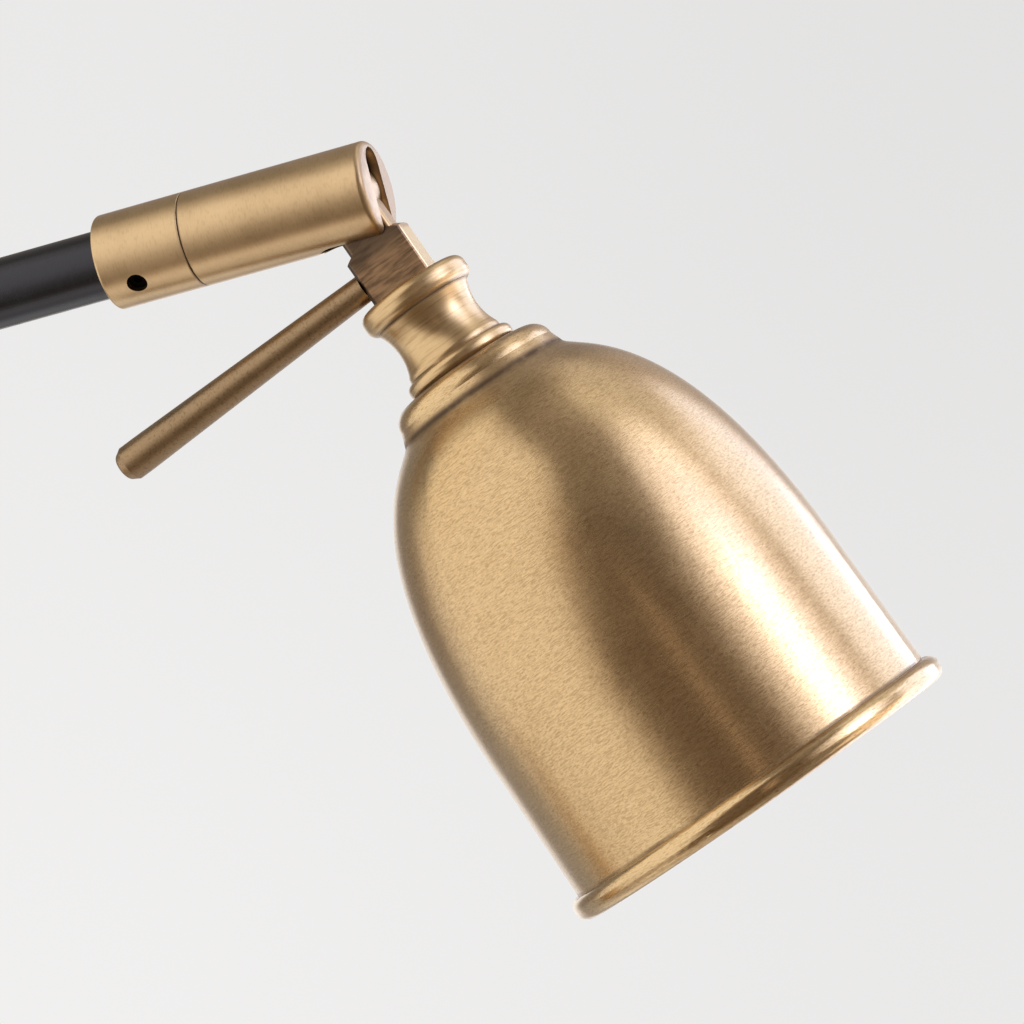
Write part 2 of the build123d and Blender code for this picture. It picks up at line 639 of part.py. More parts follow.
with BuildPart() as post_foot:
    with BuildSketch(Plane.XY.offset(foot_ring_start)):
        Circle(knuckle_radius)
    extrude(amount=FOOT_RING_HEIGHT + FOOT_SLEEVE_LENGTH)
    chamfer(post_foot.edges().filter_by(GeomType.CIRCLE).sort_by(Axis.Z)[-1], EDGE_BREAK)
    add_ring(base_frame, boss_top, FOOT_FLANGE_DIAMETER, FOOT_FLANGE_HEIGHT, FOOT_FLANGE_ROUND)
    add_ring(base_frame, foot_ring_start, FOOT_RING_DIAMETER, FOOT_RING_HEIGHT, FOOT_RING_ROUND)
    with BuildSketch(base_frame):
        with BuildLine():
            cove_low = (FOOT_COVE_START_DIAMETER / 2, foot_cove_start)
            cove_waist = (FOOT_COVE_WAIST_DIAMETER / 2, foot_cove_start + FOOT_COVE_HEIGHT / 2)
            cove_high = (FOOT_COVE_END_DIAMETER / 2, foot_ring_start)
            ThreePointArc(cove_low, cove_waist, cove_high)
            Polyline(cove_high, (0, foot_ring_start), (0, foot_cove_start), cove_low)
        make_face()
    revolve(axis=Axis.Z)
    cut_round(Plane.XY.offset(foot_top), tube_hole, -FOOT_GRIP)
    cut_round(Plane.XY.offset(boss_top), nipple_hole, NIPPLE_GRIP)
    cut_round(Plane.XY.offset(boss_top), WIRE_BORE, foot_top - boss_top)
    cut_grub_hole(base_frame, foot_top - FOOT_SLEEVE_LENGTH / 2)
save(post_foot, "post_foot")

post_nut_seat = weight_bottom + POST_NUT_RECESS_DEPTH - POST_WASHER_THICKNESS
post_nut_bottom = post_nut_seat - NUT_HEIGHT
make_grub_screw("post_foot_screw", base_frame, foot_top - FOOT_SLEEVE_LENGTH / 2)
make_nipple("post_nipple", base_frame, post_nut_bottom - NIPPLE_END, boss_top + NIPPLE_GRIP)
make_washer("post_washer", base_frame, post_nut_seat, POST_WASHER_DIAMETER,
            NIPPLE_DIAMETER + 2 * HOLE_CLEARANCE, POST_WASHER_THICKNESS)
make_nut("post_nut", base_frame, post_nut_bottom)

# Post tube, from the foot up into the post collar
post_tube_end = ARM_PIVOT_HEIGHT + collar_mouth + COLLAR_GRIP
make_tube("post_tube", base_frame, foot_top - FOOT_GRIP, post_tube_end)

# Swing joint on top of the post
make_collar("post_collar", swing_frame)
make_grub_screw("post_collar_screw", swing_frame, collar_mouth + GRUB_INSET)
make_swivel_hardware("swing", swing_frame)
make_knuckle("swing_knuckle", swing_frame)
make_pivot_screw("arm_pivot_screw", swing_frame)
make_pivot_washers("arm_pivot_washers", swing_frame)

# Arm: tongue, ringed socket and tube
socket_end = TONGUE_LENGTH + SOCKET_LENGTH
arm_tongue_blank = tongue_blank(arm_frame)

with BuildPart() as arm_tongue:
    add(arm_tongue_blank)
save(arm_tongue, "arm_tongue")

with BuildPart() as arm_socket:
    with BuildSketch(square_plane(arm_frame, TONGUE_LENGTH)):
        Circle(knuckle_radius)
    extrude(amount=SOCKET_LENGTH)
    chamfer(arm_socket.edges().filter_by(GeomType.CIRCLE).sort_by(axis_of(arm_frame))[-1], EDGE_BREAK)
    add_ring(arm_frame, TONGUE_LENGTH, SOCKET_RING_DIAMETER, SOCKET_RING_HEIGHT, SOCKET_RING_ROUND)
    cut_round(square_plane(arm_frame, TONGUE_LENGTH), SPIGOT_DIAMETER + 2 * THREAD_CLEARANCE,
              SPIGOT_LENGTH + SPIGOT_SPARE)
    cut_round(square_plane(arm_frame, socket_end), tube_hole, -SOCKET_GRIP)
    cut_grub_hole(arm_frame, socket_end - GRUB_INSET)
save(arm_socket, "arm_socket")

arm_tube_end = ARM_LENGTH + collar_mouth + COLLAR_GRIP
make_grub_screw("arm_socket_screw", arm_frame, socket_end - GRUB_INSET)
make_tube("arm_tube", arm_frame, socket_end - SOCKET_GRIP, arm_tube_end)

# Swivel at the end of the arm
make_collar("head_collar", swivel_frame)
make_grub_screw("head_collar_screw", swivel_frame, collar_mouth + GRUB_INSET)
make_swivel_hardware("swivel", swivel_frame)
make_knuckle("head_knuckle", swivel_frame)
make_pivot_screw("head_pivot_screw", swivel_frame)
make_pivot_washers("head_pivot_washers", swivel_frame)

# Head tongue with the tilt handle screwed into its edge
head_tongue_blank = tongue_blank(head_frame)

with BuildPart() as head_tongue:
    add(head_tongue_blank)
    cut_round(square_plane(handle_frame, tongue_reach), HANDLE_SPIGOT_DIAMETER + 2 * THREAD_CLEARANCE,
              -HANDLE_SPIGOT_LENGTH)
save(head_tongue, "head_tongue")

with BuildPart() as tilt_handle:
    handle_end = tongue_reach + HANDLE_LENGTH
    with BuildSketch(handle_frame) as rod:
        with BuildLine():
            Polyline(
                (0, tongue_reach),
                (HANDLE_ROOT_DIAMETER / 2, tongue_reach),
                (HANDLE_TIP_DIAMETER / 2, handle_end - HANDLE_TIP_LAND),
                (HANDLE_TIP_DIAMETER / 2, handle_end - HANDLE_TIP_BEVEL_LENGTH),
                (HANDLE_TIP_DIAMETER / 2 - HANDLE_TIP_BEVEL, handle_end),
                (0, handle_end),
                close=True,
            )
        make_face()
        fillet(rod.vertices().group_by(Axis.Y)[-1].sort_by(Axis.X)[-1], HANDLE_TIP_ROUND)
    revolve(axis=axis_of(handle_frame))
    with BuildSketch(square_plane(handle_frame, tongue_reach)):
        Circle(HANDLE_SPIGOT_DIAMETER / 2)
    extrude(amount=-HANDLE_SPIGOT_LENGTH)
save(tilt_handle, "tilt_handle")

# Neck: ring, cove, step and bead, screwed to the tongue above and to the nipple below
cove_start = TONGUE_LENGTH + NECK_RING_HEIGHT
cove_end = cove_start + COVE_HEIGHT
bead_start = cove_end + NECK_STEP_HEIGHT
neck_end = bead_start + NECK_BEAD_HEIGHT

with BuildPart() as neck:
    add_ring(head_frame, TONGUE_LENGTH, NECK_RING_DIAMETER, NECK_RING_HEIGHT, NECK_RING_ROUND)
    add_ring(head_frame, bead_start, NECK_BEAD_DIAMETER, NECK_BEAD_HEIGHT, NECK_BEAD_ROUND)
    with BuildSketch(head_frame) as cove:
        with BuildLine():
            cove_top = (COVE_TOP_DIAMETER / 2, cove_start)
            cove_waist = (COVE_WAIST_DIAMETER / 2, cove_start + COVE_HEIGHT / 2)
            cove_foot = (NECK_STEP_DIAMETER / 2, cove_end)
            ThreePointArc(cove_top, cove_waist, cove_foot)
            Polyline(cove_foot, (NECK_STEP_DIAMETER / 2, bead_start), (0, bead_start), (0, cove_start),
                     cove_top)
        make_face()
        fillet(cove.vertices().group_by(Axis.X)[-1].sort_by(Axis.Y)[0], NECK_STEP_ROUND)
    revolve(axis=axis_of(head_frame))
    cut_round(square_plane(head_frame, TONGUE_LENGTH), SPIGOT_DIAMETER + 2 * THREAD_CLEARANCE,
              SPIGOT_LENGTH + SPIGOT_SPARE)
    cut_round(square_plane(head_frame, neck_end), nipple_hole, -NIPPLE_GRIP)
    cut_round(square_plane(head_frame, neck_end), WIRE_BORE, TONGUE_LENGTH - neck_end)
save(neck, "neck")

# Shade: stepped crown, domed body, straight skirt and rolled rim
crease_level = neck_end + CROWN_HEIGHT
skirt_start = crease_level + DOME_HEIGHT
rim_start = skirt_start + SKIRT_HEIGHT
rim_end = rim_start + RIM_HEIGHT
shade_hole_radius = NIPPLE_DIAMETER / 2 + HOLE_CLEARANCE


def add_bell(inset, mode):
    """Add or cut the solid bell whose outline lies an inset inside the shade's outer face."""
    slope = radians(DOME_SLOPE)
    crown_level = neck_end + inset
    crown_radius = CROWN_DIAMETER / 2 - inset
    crown_round = CROWN_ROUND - inset
    dome_start = Vector(CREASE_DIAMETER / 2 - inset * cos(slope), crease_level + inset * sin(slope))
    dome_end = Vector(SKIRT_DIAMETER / 2 - inset, skirt_start)
    skirt_end = Vector(SKIRT_DIAMETER / 2 + SKIRT_FLARE - inset, rim_end)
    start_pull = dome_start + Vector(sin(slope), cos(slope)) * DOME_START_PULL
    end_pull = dome_end - Vector(0, DOME_END_PULL)
    with BuildSketch(head_frame) as bell:
        with BuildLine():
            Polyline(skirt_end, (0, rim_end), (0, crown_level), (crown_radius - crown_round, crown_level))
            RadiusArc((crown_radius - crown_round, crown_level), (crown_radius, crown_level + crown_round),
                      -crown_round)
            Line((crown_radius, crown_level + crown_round), dome_start)
            Bezier(dome_start, start_pull, end_pull, dome_end)
            Line(dome_end, skirt_end)
        make_face()
    revolve(bell.sketch, axis=axis_of(head_frame), mode=mode)


with BuildPart() as shade:
    add_bell(0, Mode.ADD)
    add_ring(head_frame, rim_start, RIM_DIAMETER, RIM_HEIGHT, RIM_ROUND)
    add_bell(SHADE_WALL, Mode.SUBTRACT)
    cut_round(square_plane(head_frame, neck_end), 2 * shade_hole_radius, CROWN_HEIGHT)
save(shade, "shade")

# Under the crown: lampholder bracket, nut and nipple
bracket_top = neck_end + SHADE_WALL
nut_seat = bracket_top + BRACKET_SHEET
holder_back = bracket_top + BRACKET_DROP
holder_face = holder_back + HOLDER_HEIGHT
foot_screw_reach = BRACKET_SPAN / 2 - BRACKET_SHEET - HOLE_CLEARANCE - HOLDER_SCREW_HEAD_DIAMETER / 2

make_nipple("shade_nipple", head_frame, neck_end - NIPPLE_GRIP, nut_seat + NUT_HEIGHT + NIPPLE_END)
make_nut("shade_nut", head_frame, nut_seat)

with BuildPart() as holder_bracket:
    with BuildSketch(head_frame):
        with Locations((0, bracket_top)):
            Rectangle(BRACKET_SPAN, BRACKET_SHEET, align=(Align.CENTER, Align.MIN))
        with Locations((-BRACKET_SPAN / 2, bracket_top)):
            Rectangle(BRACKET_SHEET, BRACKET_DROP, align=Align.MIN)
        with Locations((BRACKET_SPAN / 2, bracket_top)):
            Rectangle(BRACKET_SHEET, BRACKET_DROP, align=(Align.MAX, Align.MIN))
        with Locations((-BRACKET_SPAN / 2, holder_back)):
            Rectangle(BRACKET_FOOT, BRACKET_SHEET, align=(Align.MIN, Align.MAX))
        with Locations((BRACKET_SPAN / 2, holder_back)):
            Rectangle(BRACKET_FOOT, BRACKET_SHEET, align=Align.MAX)
    extrude(amount=BRACKET_WIDTH / 2, both=True)
    cut_round(square_plane(head_frame, bracket_top), NIPPLE_DIAMETER + 2 * HOLE_CLEARANCE, BRACKET_SHEET)
    with BuildSketch(square_plane(head_frame, holder_back)):
        with Locations((-foot_screw_reach, 0), (foot_screw_reach, 0)):
            Circle(HOLDER_SCREW_DIAMETER / 2 + HOLE_CLEARANCE)
    extrude(amount=-BRACKET_SHEET, mode=Mode.SUBTRACT)
save(holder_bracket, "holder_bracket")

with BuildPart() as holder_screws:
    with BuildSketch(square_plane(head_frame, holder_back - BRACKET_SHEET)):
        with Locations((-foot_screw_reach, 0), (foot_screw_reach, 0)):
            Circle(HOLDER_SCREW_HEAD_DIAMETER / 2)
    extrude(amount=-HOLDER_SCREW_HEAD_HEIGHT)
    with BuildSketch(square_plane(head_frame, holder_back - BRACKET_SHEET)):
        with Locations((-foot_screw_reach, 0), (foot_screw_reach, 0)):
            Circle(HOLDER_SCREW_DIAMETER / 2)
    extrude(amount=HOLDER_SCREW_LENGTH)
save(holder_screws, "holder_screws")

# Ceramic lampholder with two pin sockets
with BuildPart() as lampholder:
    with BuildSketch(square_plane(head_frame, holder_back)):
        Circle(HOLDER_DIAMETER / 2)
    extrude(amount=HOLDER_HEIGHT)
    fillet(lampholder.edges().filter_by(GeomType.CIRCLE), HOLDER_ROUND)
    with BuildSketch(square_plane(head_frame, holder_back)):
        with Locations((-foot_screw_reach, 0), (foot_screw_reach, 0)):
            Circle(HOLDER_SCREW_DIAMETER / 2 + THREAD_CLEARANCE)
    extrude(amount=HOLDER_SCREW_LENGTH - BRACKET_SHEET, mode=Mode.SUBTRACT)
    with BuildSketch(square_plane(head_frame, holder_face)):
        with Locations((0, -LAMP_PIN_SPACING / 2), (0, LAMP_PIN_SPACING / 2)):
            Circle(LAMP_PIN_HEAD_DIAMETER / 2 + HOLE_CLEARANCE)
    extrude(amount=-(LAMP_PIN_LENGTH + HOLE_CLEARANCE), mode=Mode.SUBTRACT)
save(lampholder, "lampholder")

# Reflector lamp: moulded body, front lens and two lock pins
lamp_front = holder_face + LAMP_LENGTH
lamp_rim_start = lamp_front - LAMP_RIM_LENGTH
lamp_flare_start = holder_face + LAMP_BASE_LENGTH

with BuildPart() as lamp_body:
    with BuildSketch(head_frame):
        with BuildLine():
            flare_start = Vector(LAMP_BASE_DIAMETER / 2, lamp_flare_start)
            flare_end = Vector(LAMP_DIAMETER / 2, lamp_rim_start)
            Polyline(flare_start, (LAMP_BASE_DIAMETER / 2, holder_face), (0, holder_face), (0, lamp_front),
                     (LAMP_DIAMETER / 2, lamp_front), flare_end)
            Bezier(flare_start, (LAMP_DIAMETER / 2, lamp_flare_start), flare_end)
        make_face()
    revolve(axis=axis_of(head_frame))
    cut_round(square_plane(head_frame, lamp_front), LENS_DIAMETER + 2 * HOLE_CLEARANCE, -LENS_THICKNESS)
save(lamp_body, "lamp_body")

with BuildPart() as lamp_lens:
    with BuildSketch(square_plane(head_frame, lamp_front)):
        Circle(LENS_DIAMETER / 2)
    extrude(amount=-LENS_THICKNESS)
save(lamp_lens, "lamp_lens")

with BuildPart() as lamp_pins:
    with BuildSketch(square_plane(head_frame, holder_face)):
        with Locations((0, -LAMP_PIN_SPACING / 2), (0, LAMP_PIN_SPACING / 2)):
            Circle(LAMP_PIN_DIAMETER / 2)
    extrude(amount=-LAMP_PIN_LENGTH)
    with BuildSketch(square_plane(head_frame, holder_face - LAMP_PIN_LENGTH)):
        with Locations((0, -LAMP_PIN_SPACING / 2), (0, LAMP_PIN_SPACING / 2)):
            Circle(LAMP_PIN_HEAD_DIAMETER / 2)
    extrude(amount=LAMP_PIN_HEAD_LENGTH)
save(lamp_pins, "lamp_pins")
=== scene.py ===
from math import cos, radians, sin

import bpy
import numpy as np
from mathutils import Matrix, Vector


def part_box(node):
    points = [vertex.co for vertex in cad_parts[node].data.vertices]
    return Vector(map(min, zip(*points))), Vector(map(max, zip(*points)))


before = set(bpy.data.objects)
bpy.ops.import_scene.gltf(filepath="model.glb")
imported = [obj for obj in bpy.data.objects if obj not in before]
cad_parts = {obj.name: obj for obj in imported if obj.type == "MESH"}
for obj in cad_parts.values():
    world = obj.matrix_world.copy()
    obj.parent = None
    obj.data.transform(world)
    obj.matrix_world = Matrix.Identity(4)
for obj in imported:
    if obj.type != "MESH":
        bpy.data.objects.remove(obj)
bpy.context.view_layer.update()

# Felt pad under the base: a disc of pressed dark felt, glued to the steel bottom plate.
# It keeps the weighted base from scratching the desk.
FELT = ((0.018, 0.018, 0.017, 1), (0.085, 0.083, 0.078, 1))
FELT_NAP = 0.0003


class Tone:
    """One socket of a material's nodes: arithmetic on it adds Math nodes."""

    def __init__(self, tree, socket=None):
        self.tree = tree
        self.socket = socket

    def node(self, kind, settings=None, sockets=None, out=0):
        """Add a node of a type, apply its settings, then fill its sockets with values or links."""
        made = self.tree.nodes.new(kind)
        for name, value in (settings or {}).items():
            setattr(made, name, value)
        for name, value in (sockets or {}).items():
            if isinstance(value, Tone):
                self.tree.links.new(value.socket, made.inputs[name])
            else:
                made.inputs[name].default_value = value
        return Tone(self.tree, made.outputs[out])

    def maths(self, operation, first, second):
        return self.node("ShaderNodeMath", {"operation": operation}, {0: first, 1: second})

    def __add__(self, other):
        return self.maths("ADD", self, other)

    def __radd__(self, other):
        return self.maths("ADD", other, self)

    def __sub__(self, other):
        return self.maths("SUBTRACT", self, other)

    def __rsub__(self, other):
        return self.maths("SUBTRACT", other, self)

    def __mul__(self, other):
        return self.maths("MULTIPLY", self, other)

    def __rmul__(self, other):
        return self.maths("MULTIPLY", other, self)

    def __truediv__(self, other):
        return self.maths("DIVIDE", self, other)

    def __rtruediv__(self, other):
        return self.maths("DIVIDE", other, self)

    def ease(self, low, high):
        """Smooth step: 0 below low, 1 above high, an S-curve between them."""
        return self.node("ShaderNodeMapRange", {"interpolation_type": "SMOOTHSTEP"},
                         {"Value": self, "From Min": low, "From Max": high})

    def near(self, place, width):
        """Hump of height 1 at a place, falling to 0 a width to either side of it."""
        return 1 - self.maths("ABSOLUTE", self - place, 0.0).ease(0.0, width)

    def band(self, low, high, soft):
        """Plateau of height 1 from low to high, with shoulders that are soft by so much."""
        return self.ease(low - soft, low + soft) * (1 - self.ease(high - soft, high + soft))

    def between(self, dark, light):
        """Colour that goes from dark at 0 to light at 1."""
        return self.node("ShaderNodeMix", {"data_type": "RGBA"}, {0: self, 6: dark, 7: light}, 2)

    def place(self, start=(0, 0, 0), turn=0.0):
        """Object coordinates measured from start, turned about Y so that x runs along the axis."""
        here = self.node("ShaderNodeTexCoord", out="Object")
        return self.node("ShaderNodeMapping", {"vector_type": "TEXTURE"},
                         {"Vector": here, "Location": start, "Rotation": (0, turn, 0)})

    def part(self, name):
        """The X, Y or Z of a place or direction."""
        return self.node("ShaderNodeSeparateXYZ", None, {"Vector": self}, name)

    def length(self):
        """Distance of a place from where its coordinates start."""
        return self.node("ShaderNodeVectorMath", {"operation": "LENGTH"}, {0: self}, "Value")

    def cloud(self, where, waves, detail=2.0, rough=0.5):
        """Noise from 0 to 1 with so many waves per metre, one number or one for each axis."""
        stretch = waves if isinstance(waves, tuple) else (waves, waves, waves)
        spread = self.node("ShaderNodeVectorMath", {"operation": "MULTIPLY"}, {0: where, 1: stretch})
        return self.node("ShaderNodeTexNoise", None,
                         {"Vector": spread, "Scale": 1.0, "Detail": detail, "Roughness": rough})

    def bump(self, height, depth):
        """Surface relief of so many metres at a height of 1."""
        return self.node("ShaderNodeBump", None,
                         {"Height": height, "Distance": depth, "Strength": 1.0})


def new_finish(name):
    """Empty material, with its shader and a Tone to build its nodes from."""
    material = bpy.data.materials.new(name)
    material.use_nodes = True
    return material, material.node_tree.nodes["Principled BSDF"], Tone(material.node_tree)


def feed(shader, **values):
    """Fill the shader's sockets, named with underscores for spaces, with values or links."""
    for name, value in values.items():
        socket = shader.inputs[name.replace("_", " ")]
        if isinstance(value, Tone):
            value.tree.links.new(value.socket, socket)
        else:
            socket.default_value = value


def dress(material, *nodes):
    """Give CAD nodes a finish."""
    for node in nodes:
        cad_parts[node].material_slots[0].material = material


felt, shader, tone = new_finish("pressed_felt")
where = tone.place()
fibres = tone.cloud(where, 2600, 4.0, 0.7)
tufts = tone.cloud(where, 260, 3.0)
feed(shader, Base_Color=(fibres * 0.6 + tufts * 0.4).between(*FELT), Roughness=0.95, Sheen_Weight=0.3,
     Normal=tone.bump(fibres, FELT_NAP))
dress(felt, "base_pad")

# Bottom plate, screws, nuts, washers and threaded tubes: zinc-plated steel from stock,
# all screwed together inside the base, the swivels and the crown of the shade.
ZINC = ((0.40, 0.40, 0.39, 1), (0.66, 0.66, 0.65, 1))
ZINC_RELIEF = 0.00003
zinc, shader, tone = new_finish("zinc_plated_steel")
where = tone.place()
spangle = tone.cloud(where, 900, 3.0)
stain = tone.cloud(where, 120, 3.0)
feed(shader, Base_Color=(spangle * 0.5 + stain * 0.5).between(*ZINC), Metallic=1.0,
     Roughness=0.28 + 0.22 * stain, Normal=tone.bump(spangle, ZINC_RELIEF))
dress(zinc, "base_plate", "base_screws", "post_nipple", "post_washer", "post_nut", "swing_stud",
      "swing_spring_washer", "swivel_stud", "swivel_spring_washer", "shade_nipple", "shade_nut",
      "holder_bracket", "holder_screws")

# Iron weight: a rough grey sand casting that fills the base cover and keeps the lamp upright.
# It is drilled for the bottom plate's screws and has a film of rust in places.
IRON = ((0.09, 0.088, 0.086, 1), (0.21, 0.19, 0.175, 1))
IRON_RELIEF = 0.0003
cast_iron, shader, tone = new_finish("cast_iron")
where = tone.place()
sand = tone.cloud(where, 1500, 4.0, 0.65)
rust = tone.cloud(where, 90, 3.0).ease(0.55, 0.75)
feed(shader, Base_Color=(sand * 0.7 + rust * 0.3).between(*IRON), Metallic=0.6,
     Roughness=0.55 + 0.3 * sand, Normal=tone.bump(sand, IRON_RELIEF))
dress(cast_iron, "base_weight")

# Base cover: a brass sheet spun into a drum with a rolled bead and a low boss, then aged
# and brushed as it turned, so the fine lines run round its axis. Clear lacquer keeps it so.
# The switch's bezel and button and the lamp's pins are of the same brass.
UPRIGHT = radians(-90)
RUBBED = (0.645, 0.450, 0.232, 1)
AGED = (0.447, 0.290, 0.134, 1)
# Dark patina of the seams, also the colour of a band of painted shade under the shade's crease.
PATINA_AND_SHADE = (0.080, 0.043, 0.021, 1)
# Near-black painted shade inside the holes and slots of the turned bars.
HOLLOW_SHADE = (0.004, 0.003, 0.002, 1)
BRUSH_RELIEF = 0.000006
CLOUD_WAVES = (110, 90, 90)
SPECK_WAVES = 1500
GRAIN_WAVES = 9500
EDGE_FADE = 0.0003
BAR_RADIUS = 0.0088
SLOT_HALF = 0.0035
SLOT_FADE = 0.0002
HOLLOW_SHADE_DEPTH = 0.0022
MOUTH_FADE = (0.0012, 0.003)
SKIN_FADE = (0.00005, 0.0003)


def brushed_brass(name, start, turn, tones=(AGED, RUBBED), lines=(11000, 1300), stroke=1.0,
                  rough=0.25, mottle=0.5, seams=(), hollow=None, brushed=None):
    """Aged brass brushed round an axis: fine lines across it, cloudy ageing, dirt in its seams, painted
    shade in its holes.

    Lines are the waves per metre along the axis and round it. A seam is a place along the axis,
    the width over which its darkening fades and how dark it is; a seam is dirt in a joint or
    crease, or painted shade where it stands in for a shadow. A hollow names the ends of a bar
    whose holes and slot are painted dark inside as shade. Outside the stretch called brushed,
    the brush lines fade and the metal shines more."""
    material, shader, tone = new_finish(name)
    where = tone.place(start, turn)
    along = where.part("X")
    fine, broad = lines
    strokes = tone.cloud(where, (fine, broad, broad), 1.0)
    hairs = tone.cloud(where, (fine, 0.25 * broad, 0.25 * broad), 0.0)
    scores = tone.cloud(where, (0.8 * fine, 0.7 * broad, 0.7 * broad), 0.0).ease(0.56, 0.74)
    clouds = tone.cloud(where, CLOUD_WAVES, 4.0, 0.6)
    specks = tone.cloud(where, SPECK_WAVES, 2.0, 0.6)
    grain = tone.cloud(where, GRAIN_WAVES, 0.0)
    marks = 2.9 * (strokes - 0.5) + 1.7 * (hairs - 0.5) - 2.6 * scores + 3.4 * (grain - 0.5)
    brush = marks * stroke
    gloss = rough + 0.10 * (specks - 0.5) + 0.10 * (clouds - 0.5)
    if brushed:
        shine = 1 - along.band(brushed[0], brushed[1], EDGE_FADE)
        brush = brush * (1 - 0.65 * shine) - 0.15 * shine * specks.ease(0.6, 0.72)
        gloss = gloss - 0.06 * along.ease(brushed[1] - EDGE_FADE, brushed[1] + EDGE_FADE)
    ageing = 0.63 + 0.15 * stroke + brush + 1.6 * mottle * (clouds - 0.5)
    body = ageing.ease(0.0, 1.0).between(*tones)
    dulled = 0.0
    # Seams darken and dull the metal: dirt in joints and creases, and painted shade where a seam stands
    # in for a shadow.
    for place, width, depth in seams:
        seam_darkening = depth * along.near(place, width) * (0.3 + 0.7 * clouds.ease(0.35, 0.6))
        body = seam_darkening.between(body, PATINA_AND_SHADE)
        gloss = gloss + 0.2 * seam_darkening
        dulled = tone.maths("MAXIMUM", dulled, seam_darkening)
    # Painted shade: a bar's holes and slot darken inwards from their mouths.
    if hollow:
        across = tone.node("ShaderNodeVectorMath", {"operation": "MULTIPLY"}, {0: where, 1: (0, 1, 1)})
        buried = BAR_RADIUS - across.length()
        inward = tone.maths("MINIMUM", along - hollow[0], hollow[1] - along)
        deep = tone.maths("MINIMUM", inward, buried).ease(EDGE_FADE, HOLLOW_SHADE_DEPTH)
        slit = where.part("Y").band(-SLOT_HALF, SLOT_HALF, SLOT_FADE) * buried.ease(*SKIN_FADE)
        hollow_shade = tone.maths("MAXIMUM", deep, slit * inward.ease(*MOUTH_FADE))
        body = hollow_shade.between(body, HOLLOW_SHADE)
        gloss = gloss + 0.4 * hollow_shade
    feed(shader, Base_Color=body, Metallic=1 - dulled, Roughness=gloss, Specular_IOR_Level=0.12,
         Coat_Weight=0.3 - 0.25 * dulled, Coat_Roughness=0.2,
         Normal=tone.bump(strokes - 0.5 * scores, BRUSH_RELIEF * stroke))
    return material


base_brass = brushed_brass("base_brass", (0, 0, 0), UPRIGHT)
dress(base_brass, "base_cover", "switch_bezel", "switch_button", "lamp_pins")

# Lead bush and switch body: black moulded plastic with a fine spark-eroded surface.
# The bush sits in a hole in the back of the cover, and its brass bezel clamps the switch.
MOULDING = ((0.020, 0.020, 0.020, 1), (0.042, 0.041, 0.040, 1))
MOULDING_RELIEF = 0.00004
moulded, shader, tone = new_finish("black_moulding")
where = tone.place()
spark = tone.cloud(where, 2200, 3.0, 0.6)
haze = tone.cloud(where, 150)
feed(shader, Base_Color=haze.between(*MOULDING), Roughness=0.42 + 0.15 * spark,
     Normal=tone.bump(spark, MOULDING_RELIEF))
dress(moulded, "cord_gland", "switch_body")

# Post foot, post collar and swing knuckle: turned from brass bar on the post's axis,
# with a satin face of very fine lathe lines. The knuckle's slot and the bars' holes are painted dark
# inside as shade.
SATIN = ((0.48, 0.324, 0.166, 1), (0.66, 0.462, 0.250, 1))
TURNED = {"tones": SATIN, "lines": (4200, 1400), "stroke": 0.07, "rough": 0.31, "mottle": 0.7}
SEAM_DIRT = (0.0005, 0.6)
NOSE_DIRT = (0.0010, 0.45)


def upright_ends(node):
    """Lowest and highest place of an upright bar."""
    low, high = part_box(node)
    return low.z, high.z


def dress_bars(bars, collar, knuckle, start, turn):
    """Dress turned bars, given by their ends along one axis, with dirt in the seam and on the nose,
    and painted shade inside their holes.
    """
    seam = (bars[collar][1] + bars[knuckle][0]) / 2
    nose = bars[knuckle][1]
    seam_darkening = ((seam, *SEAM_DIRT), (nose, *NOSE_DIRT))
    for node, ends in bars.items():
        dress(brushed_brass(f"{node}_brass", start, turn, hollow=ends, seams=seam_darkening, **TURNED), node)


post_bars = {node: upright_ends(node) for node in ("post_foot", "post_collar", "swing_knuckle")}
dress_bars(post_bars, "post_collar", "swing_knuckle", (0, 0, 0), UPRIGHT)

# Grub screws and hinge pins: blackened steel screws with a hexagon socket.
# They are tightened with a key, and the grub screws sit sunk in the collars.
BLACKENED = ((0.001, 0.001, 0.001, 1), (0.004, 0.0036, 0.0032, 1))
BLACKENED_RELIEF = 0.00001
blackened, shader, tone = new_finish("blackened_steel")
where = tone.place()
grit = tone.cloud(where, 2400)
feed(shader, Base_Color=grit.between(*BLACKENED), Specular_IOR_Level=0.05,
     Roughness=0.60 + 0.2 * grit, Normal=tone.bump(grit, BLACKENED_RELIEF))
dress(blackened, "post_foot_screw", "post_collar_screw", "arm_socket_screw", "head_collar_screw",
      "arm_pivot_screw", "head_pivot_screw")

# Friction washers of the swivels and hinges: discs of brown pressed fibre.
# The studs and hinge pins clamp them, so that the lamp stays where it is put.
FIBRE = ((0.16, 0.105, 0.060, 1), (0.30, 0.20, 0.115, 1))
FIBRE_RELIEF = 0.00003
fibre, shader, tone = new_finish("pressed_fibre")
where = tone.place()
strand = tone.cloud(where, 1800, 3.0)
feed(shader, Base_Color=strand.between(*FIBRE), Roughness=0.7 + 0.2 * strand,
     Normal=tone.bump(strand, FIBRE_RELIEF))
dress(fibre, "swing_washer", "swivel_washer", "arm_pivot_washers", "head_pivot_washers")

# Post and arm tubes: half-inch steel tube with satin black stove enamel.
# They are pushed into the brass collars and sockets and held by the grub screws.
ARM_RISE = radians(15.55)
ARM_PIVOT = (0, 0, 0.340)
ENAMEL = ((0.0006, 0.0005, 0.0009, 1), (0.006, 0.0054, 0.0072, 1))
ENAMEL_SHEEN = (0.95, 0.92, 1.0, 1)
ENAMEL_RELIEF = 0.00002


